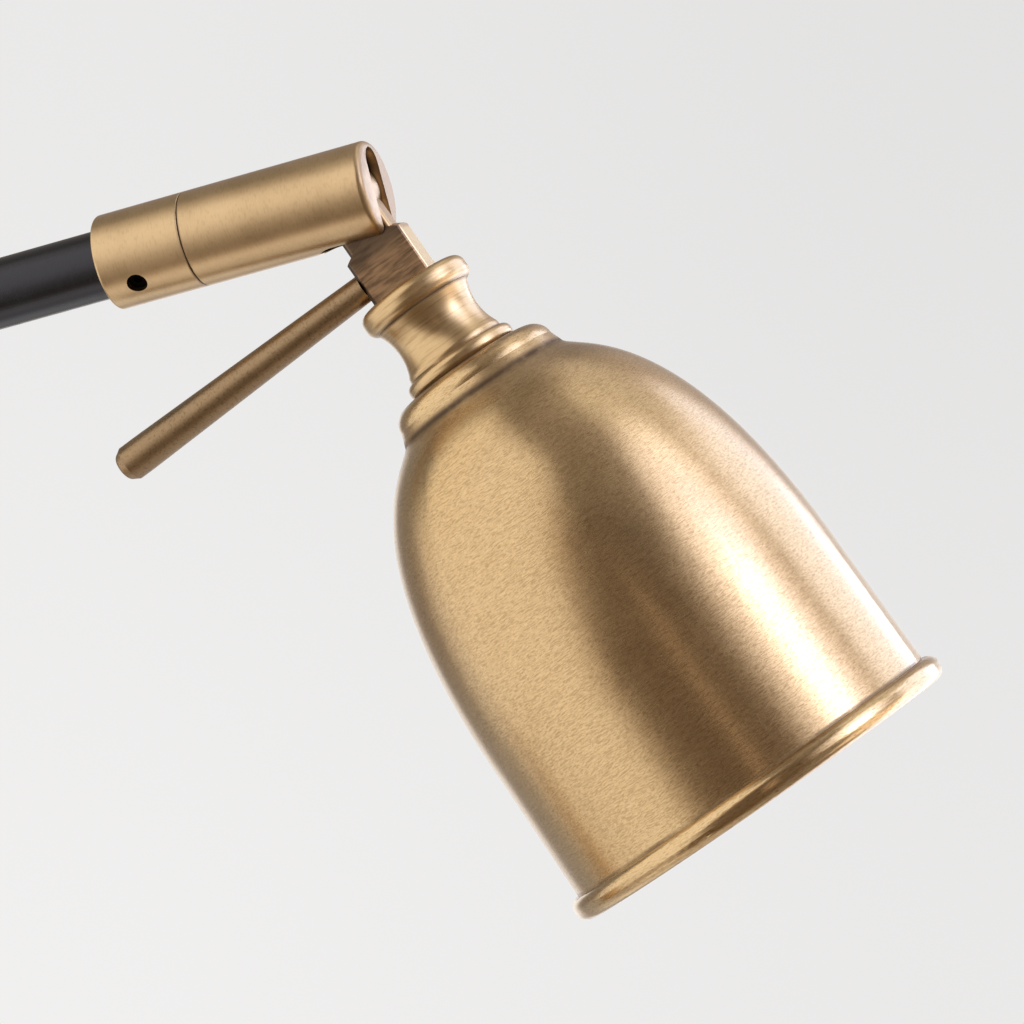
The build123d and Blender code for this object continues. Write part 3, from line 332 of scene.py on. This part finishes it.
def enamel(name, start, turn):
    """Black enamel: faint draw lines along the tube, soft orange peel and a little dust."""
    material, shader, tone = new_finish(name)
    where = tone.place(start, turn)
    draw = tone.cloud(where, (60, 2600, 2600), 3.0)
    peel = tone.cloud(where, 900)
    dust = tone.cloud(where, 240, 4.0, 0.7).ease(0.52, 0.8)
    feed(shader, Base_Color=(draw * 0.4 + dust * 0.6).between(*ENAMEL), Specular_IOR_Level=0.60,
         Specular_Tint=ENAMEL_SHEEN, Roughness=0.21 + 0.08 * peel + 0.14 * dust,
         Normal=tone.bump(peel * 0.6 + draw * 0.4, ENAMEL_RELIEF))
    return material


dress(enamel("post_enamel", (0, 0, 0), UPRIGHT), "post_tube")
dress(enamel("arm_enamel", ARM_PIVOT, -ARM_RISE), "arm_tube")

# Arm socket, head collar and head knuckle: the same turned bar on the arm's axis.
# Collar and knuckle stand to the upper hinge pin as those on the post stand to the lower one.
# Grub screws hold the socket and the collar on the tube.
ARM_LENGTH = 0.320
TONGUE_LENGTH = 0.0196
SOCKET_LENGTH = 0.025
pin_shift = ARM_LENGTH - ARM_PIVOT[2]
arm_bars = {"arm_socket": (TONGUE_LENGTH, TONGUE_LENGTH + SOCKET_LENGTH)}
for node, twin in (("head_collar", "post_collar"), ("head_knuckle", "swing_knuckle")):
    arm_bars[node] = tuple(end + pin_shift for end in post_bars[twin])
dress_bars(arm_bars, "head_collar", "head_knuckle", ARM_PIVOT, -ARM_RISE)

# Hinge tongues: brass blocks milled flat, browned, with a grain across the flats and bright
# rubbed edges. Painted shade darkens the flats under the knuckle and the bevel beside the
# handle. They screw into the neck and the arm socket.
HEAD_DROP = radians(53.85)
HEAD_PIVOT = (ARM_LENGTH * cos(ARM_RISE), 0, ARM_PIVOT[2] + ARM_LENGTH * sin(ARM_RISE))
BROWNED = ((0.125, 0.071, 0.036, 1), (0.375, 0.226, 0.117, 1))
BRIGHT = (0.74, 0.56, 0.30, 1)
# Colour of the painted shade on the tongues, under the knuckle and beside the handle.
BLOCK_SHADE = (0.075, 0.050, 0.032, 1)
MILLED_RELIEF = 0.000004
BLADE_FACE = 0.0027
FACE_FADE = (0.00010, 0.00002)
SHOULDER = 0.0106
SHOULDER_FADE = 0.0005
SHOULDER_SHADE_REACH = 0.0035
HANDLE_EDGE = -0.0039
HANDLE_EDGE_FADE = 0.0003


def milled_brass(name, start, turn):
    """Milled block along x: brown grain on the flats that face along y, bright edges between them,
    painted shade on the flats under the knuckle and on the bevel beside the handle.
    """
    material, shader, tone = new_finish(name)
    where = tone.place(start, turn)
    along = where.part("X")
    face = tone.maths("ABSOLUTE", where.part("Y"), 0.0)
    side = where.part("Z")
    grain = tone.cloud(where, (1700, 240, 240), 3.0, 0.6)
    clouds = tone.cloud(where, (260, 200, 200))
    flat = face.ease(BLADE_FACE - FACE_FADE[0], BLADE_FACE - FACE_FADE[1])
    browning = 0.55 + 2.0 * (grain - 0.5) + 0.8 * (clouds - 0.5)
    brown = browning.ease(0.0, 1.0).between(*BROWNED)
    below = along.ease(SHOULDER - SHOULDER_FADE, SHOULDER + SHOULDER_FADE)
    rubbed = (0.8 * below + 0.3 * (clouds - 0.5)).between(AGED, BRIGHT)
    # Painted shadow of the knuckle on the flats, fading out below the shoulder, and painted shade on
    # the bevel beside the handle.
    tucked = 1 - along.ease(SHOULDER - SHOULDER_FADE, SHOULDER + SHOULDER_SHADE_REACH)
    beside = 1 - side.ease(HANDLE_EDGE - HANDLE_EDGE_FADE, HANDLE_EDGE + HANDLE_EDGE_FADE)
    block_shade = tone.maths("MAXIMUM", 0.70 * tucked * flat, (1 - flat) * beside)
    body = block_shade.between(flat.between(rubbed, brown), BLOCK_SHADE)
    feed(shader, Base_Color=body, Metallic=1.0, Roughness=0.28 + 0.08 * grain + 0.15 * block_shade,
         Coat_Weight=0.3, Coat_Roughness=0.25, Normal=tone.bump(grain * flat, MILLED_RELIEF))
    return material


dress(milled_brass("arm_block", ARM_PIVOT, -ARM_RISE), "arm_tongue")
dress(milled_brass("head_block", HEAD_PIVOT, HEAD_DROP), "head_tongue")

# Tilt handle: a slightly tapered brass rod with a bevelled tip, browned by hands.
# It is screwed into the edge of the head's tongue, at right angles to the head's axis.
HANDLE_TURN = HEAD_DROP + radians(90)
WORN = ((0.20, 0.126, 0.064, 1), (0.40, 0.264, 0.137, 1))
handle_brass = brushed_brass("handle_brass", HEAD_PIVOT, HANDLE_TURN, WORN, lines=(3000, 3000),
                             stroke=0.10, rough=0.42, mottle=0.3)
dress(handle_brass, "tilt_handle")

# Neck: ring, cove and bead turned from one brass bar, smoother than the shade that it carries.
# It is screwed on the tongue, and a threaded tube clamps the shade's crown under its bead.
# Places are measured from the hinge pin along the head's axis.
RING_HEIGHT = 0.0045
COVE_HEIGHT = 0.0104
BEAD_HEIGHT = 0.0030
RING_END = TONGUE_LENGTH + RING_HEIGHT
COVE_END = RING_END + COVE_HEIGHT
BEAD_END = COVE_END + BEAD_HEIGHT
NECK_SEAMS = ((RING_END, 0.0006, 0.7), (COVE_END, 0.0004, 0.9), (BEAD_END, 0.0006, 0.8))
neck_brass = brushed_brass("neck_brass", HEAD_PIVOT, HEAD_DROP, lines=(3200, 250), stroke=0.14,
                           rough=0.32, seams=NECK_SEAMS)
dress(neck_brass, "neck")

# Shade: a brass sheet spun into a bell with a stepped crown and a rolled rim, brushed as it
# turned except for the rim, which hands have polished. Dirt sits in the crease under the crown,
# with a wider band of painted shade on the bell just below it.
CROWN_HEIGHT = 0.0059
BELL_HEIGHT = 0.0821
CREASE = BEAD_END + CROWN_HEIGHT
RIM_START = CREASE + BELL_HEIGHT
# The third seam is painted shade: a wide faint darker band on the bell just below the crease.
SHADE_SEAMS = ((BEAD_END, 0.0007, 0.9), (CREASE - 0.0004, 0.0013, 0.95),
               (CREASE + 0.0006, 0.0040, 0.3), (RIM_START - 0.0001, 0.0006, 0.6))
shade_brass = brushed_brass("shade_brass", HEAD_PIVOT, HEAD_DROP, seams=SHADE_SEAMS,
                            brushed=(CREASE, RIM_START))
dress(shade_brass, "shade")

# Lampholder: a small round block of glazed porcelain with two holes for the lamp's pins.
# Two screws hold it on a steel bracket under the crown.
GLAZE = ((0.72, 0.70, 0.66, 1), (0.84, 0.82, 0.78, 1))
GLAZE_RELIEF = 0.00002
porcelain, shader, tone = new_finish("glazed_porcelain")
where = tone.place()
craze = tone.cloud(where, 400, 3.0)
feed(shader, Base_Color=craze.between(*GLAZE), Roughness=0.18 + 0.1 * craze,
     Normal=tone.bump(craze, GLAZE_RELIEF))
dress(porcelain, "lampholder")

# Reflector lamp: a white moulded body with a frosted lens in its mouth.
# Two lock pins hold it in the lampholder.
LAMP_WHITE = ((0.76, 0.76, 0.74, 1), (0.84, 0.84, 0.82, 1))
LAMP_RELIEF = 0.00003
FROST = ((0.80, 0.80, 0.77, 1), (0.90, 0.90, 0.88, 1))
FROST_RELIEF = 0.0001
lamp_white, shader, tone = new_finish("lamp_moulding")
where = tone.place()
fine = tone.cloud(where, 1600, 3.0)
feed(shader, Base_Color=fine.between(*LAMP_WHITE), Roughness=0.35 + 0.15 * fine,
     Normal=tone.bump(fine, LAMP_RELIEF))
dress(lamp_white, "lamp_body")

frosted, shader, tone = new_finish("frosted_lens")
where = tone.place()
prism = tone.cloud(where, 900)
feed(shader, Base_Color=prism.between(*FROST), Roughness=0.3 + 0.2 * prism, Transmission_Weight=0.5,
     Normal=tone.bump(prism, FROST_RELIEF))
dress(frosted, "lamp_lens")

# Studio floor: a disc of pale paper under the lamp, which fades out before its edge.
# A point of it is a ring's radius times the cosine and sine of a spoke's angle.
FLOOR_RADIUS = 0.95
FLOOR_DROP = 0.0002
FLOOR_RINGS = 23
FLOOR_SPOKES = 96
FLOOR_FADE = (0.45 * FLOOR_RADIUS, 0.98 * FLOOR_RADIUS)
PAPER = ((0.90, 0.878, 0.80, 1), (0.94, 0.918, 0.836, 1))
rings = np.linspace(0, FLOOR_RADIUS, FLOOR_RINGS + 1)[1:]
spokes = np.linspace(0, 2 * np.pi, FLOOR_SPOKES, endpoint=False)
level = np.full((FLOOR_RINGS, FLOOR_SPOKES), -FLOOR_DROP)
disc = np.stack([np.outer(rings, np.cos(spokes)), np.outer(rings, np.sin(spokes)), level], -1)
grid = np.arange(FLOOR_RINGS * FLOOR_SPOKES).reshape(FLOOR_RINGS, FLOOR_SPOKES)
turned = np.roll(grid, -1, 1)
quads = np.stack([grid[:-1], grid[1:], turned[1:], turned[:-1]], -1).reshape(-1, 4)
floor_mesh = bpy.data.meshes.new("studio_floor")
floor_mesh.from_pydata(disc.reshape(-1, 3), [], [*quads.tolist(), grid[0].tolist()])
floor = bpy.data.objects.new("studio_floor", floor_mesh)
bpy.context.scene.collection.objects.link(floor)

paper, shader, tone = new_finish("studio_paper")
where = tone.place()
pulp = tone.cloud(where, 700)
feed(shader, Base_Color=pulp.between(*PAPER), Roughness=0.9)
lit = Tone(paper.node_tree, shader.outputs[0])
clear = tone.node("ShaderNodeBsdfTransparent")
fading = tone.node("ShaderNodeMixShader", None, {0: where.length().ease(*FLOOR_FADE), 1: lit, 2: clear})
paper.node_tree.links.new(fading.socket, paper.node_tree.nodes["Material Output"].inputs["Surface"])
floor_mesh.materials.append(paper)
floor.visible_glossy = False

# Studio light: a room painted on the world, pale walls left and right, a lamp panel high on the
# right and a dim gap behind the camera. Places are in degrees: around runs from the front to the
# right, behind runs from the back to the left, and height is above the horizon.
DEGREE = radians(1)
world = bpy.data.worlds.new("studio")
bpy.context.scene.world = world
world.use_nodes = True
tone = Tone(world.node_tree)
gaze = tone.node("ShaderNodeTexCoord", out="Generated")
around = tone.maths("ARCTAN2", gaze.part("X"), 0 - gaze.part("Y")) / DEGREE
behind = tone.maths("ARCTAN2", 0 - gaze.part("X"), gaze.part("Y")) / DEGREE
height = tone.maths("ARCSINE", gaze.part("Z"), 0.0) / DEGREE

# Left and front: the left wall, the dim gap with one slim glint in it, and the floor before it.
wall_start = (around - 0.1 * height).ease(-109, -95)
wall_end = (around - 0.16 * height + 6 * height.ease(35, 55)).ease(-24, -10)
left_wall = wall_start * (1 - wall_end) * height.ease(-60, -26) * (1 - height.ease(48, 58))
front_gap = around.band(-15, 48, 7) * height.band(-58, 45, 10)
glint = (around + 0.4 * height).near(23.5, 3.6) * height.band(6, 23, 5)
front_floor = around.band(-75, 8, 14) * height.band(-80, -58, 7)

# Right: the lamp panel with its hot middle, the wall below it and the wall further back.
panel_start = (around - 0.4 * (height - 40)).ease(39, 58)
right_panel = panel_start * (1 - around.ease(100, 120)) * height.band(27, 69, 8)
panel_peak = around.near(84, 24) * height.near(42, 22)
panel_lamp = around.near(79, 20) * height.near(32, 16)
right_low = around.band(81, 130, 8) * height.band(-23, 19, 7)
right_wall = behind.band(-61, -14, 7) * (height + 0.12 * (behind + 60)).band(-40, 50, 8)
wall_lamp = behind.near(-19.5, 6) * height.near(13, 9)

# Back, above and below: the back wall, ceiling and floor that the edges of the brass reflect.
back_glow = behind.band(-14, 8, 7) * height.band(13, 44, 8)
high_back = behind.band(-110, 28, 20) * height.ease(38, 58)
ceiling = height.ease(66, 84)
far_floor = behind.band(-25, 38.5, 5) * height.band(-29, 4, 12)
low_haze = behind.band(42, 76, 14) * height.band(-58, -26, 8)
low_back = behind.near(12, 66) * height.band(-80, -44, 12)
under = 1 - height.ease(-72, -42)

# How strong each of them is, where 1 is white, on top of the room's own dim light.
ROOM_LIGHT = 0.32
strengths = ((left_wall, 0.96), (front_gap, -0.125), (glint, 0.9), (front_floor, 0.40),
             (right_panel, 1.5), (panel_lamp, 5.0), (right_low, 1.25), (right_wall, 1.68),
             (wall_lamp, 3.8), (back_glow, 0.28), (high_back, 0.60), (ceiling, 0.22),
             (far_floor, 0.9), (low_haze, 0.16), (low_back, 0.42),
             (under * (1 - 0.6 * front_gap), 0.40))
studio = ROOM_LIGHT
for zone, strength in strengths:
    studio = studio + strength * zone

# Tints: warm where the room is dim, neutral on the pale walls, blue from the panel and right wall.
WARM = (1.0, 0.89, 0.82, 1)
PALE = (1.0, 0.991, 0.987, 1)
EMBERS = ((1.0, 0.74, 0.52, 1), (1.0, 0.80, 0.66, 1))
GOLD = (1.0, 0.96, 0.86, 1)
DAYLIGHT = ((0.94, 1.0, 1.24, 1), (0.92, 1.0, 1.60, 1))
SKY = (0.90, 1.0, 1.34, 1)
airy = left_wall + far_floor + 0.7 * under + high_back + 0.6 * ceiling + low_haze + low_back
neutral = airy.between(WARM, PALE)
ember = height.ease(-30, 5).between(*EMBERS)
ruddy = (front_gap * (1 - height.ease(22, 44)) + glint).between(neutral, ember)
golden = (around.near(-105, 50) * height.band(-5, 60, 12)).between(ruddy, GOLD)
daylight = right_panel.between(golden, panel_peak.between(*DAYLIGHT))
tinted = right_wall.between(daylight, SKY)

# Background that the camera sees: pale paper, a little greyer towards the right and the top.
CAMERA_AZIMUTH = radians(15.248)
CAMERA_HEIGHT = radians(6.618)
CAMERA_RIGHT = (cos(CAMERA_AZIMUTH), sin(CAMERA_AZIMUTH), 0)
PAPER_LIGHT = 0.88
PAPER_FALL = 0.055
VIEW_HALF = 0.13
rightward = tone.node("ShaderNodeVectorMath", {"operation": "DOT_PRODUCT"},
                      {0: gaze, 1: CAMERA_RIGHT}, "Value")
upward = gaze.part("Z") + sin(CAMERA_HEIGHT)
greyer = rightward.ease(-VIEW_HALF, VIEW_HALF) + upward.ease(-VIEW_HALF, VIEW_HALF)
backdrop = PAPER_LIGHT - PAPER_FALL * greyer
camera_ray = tone.node("ShaderNodeLightPath", out="Is Camera Ray")
surround = camera_ray * backdrop + (1 - camera_ray) * studio
background = world.node_tree.nodes["Background"]
world.node_tree.links.new(camera_ray.between(tinted, PALE).socket, background.inputs["Color"])
world.node_tree.links.new(surround.socket, background.inputs["Strength"])

# Camera at the photo's angle, so far from the upper hinge pin that the tube has its width there,
# and so placed that the pin falls on its pixel in a frame of 1024 x 1024.
FRAME_PIXELS = 1024
FOCAL_PIXELS = 4292
SENSOR_WIDTH = 36.0
PIN_PIXEL = (346.3, 196.54)
PIN_DEPTH = 0.7644
right = np.array(CAMERA_RIGHT)
back = np.array([sin(CAMERA_AZIMUTH) * cos(CAMERA_HEIGHT), -cos(CAMERA_AZIMUTH) * cos(CAMERA_HEIGHT),
                 sin(CAMERA_HEIGHT)])
up = np.cross(back, right)
pin_right = (PIN_PIXEL[0] - FRAME_PIXELS / 2) / FOCAL_PIXELS
pin_up = (FRAME_PIXELS / 2 - PIN_PIXEL[1]) / FOCAL_PIXELS
camera_data = bpy.data.cameras.new("camera")
camera_data.sensor_width = SENSOR_WIDTH
camera_data.lens = FOCAL_PIXELS / FRAME_PIXELS * SENSOR_WIDTH
camera_data.clip_start = 0.01
camera = bpy.data.objects.new("camera", camera_data)
bpy.context.scene.collection.objects.link(camera)
camera.location = np.array(HEAD_PIVOT) - PIN_DEPTH * (pin_right * right + pin_up * up - back)
camera.rotation_euler = (radians(90) - CAMERA_HEIGHT, 0, CAMERA_AZIMUTH)
bpy.context.scene.camera = camera
bpy.context.scene.view_settings.view_transform = "Standard"
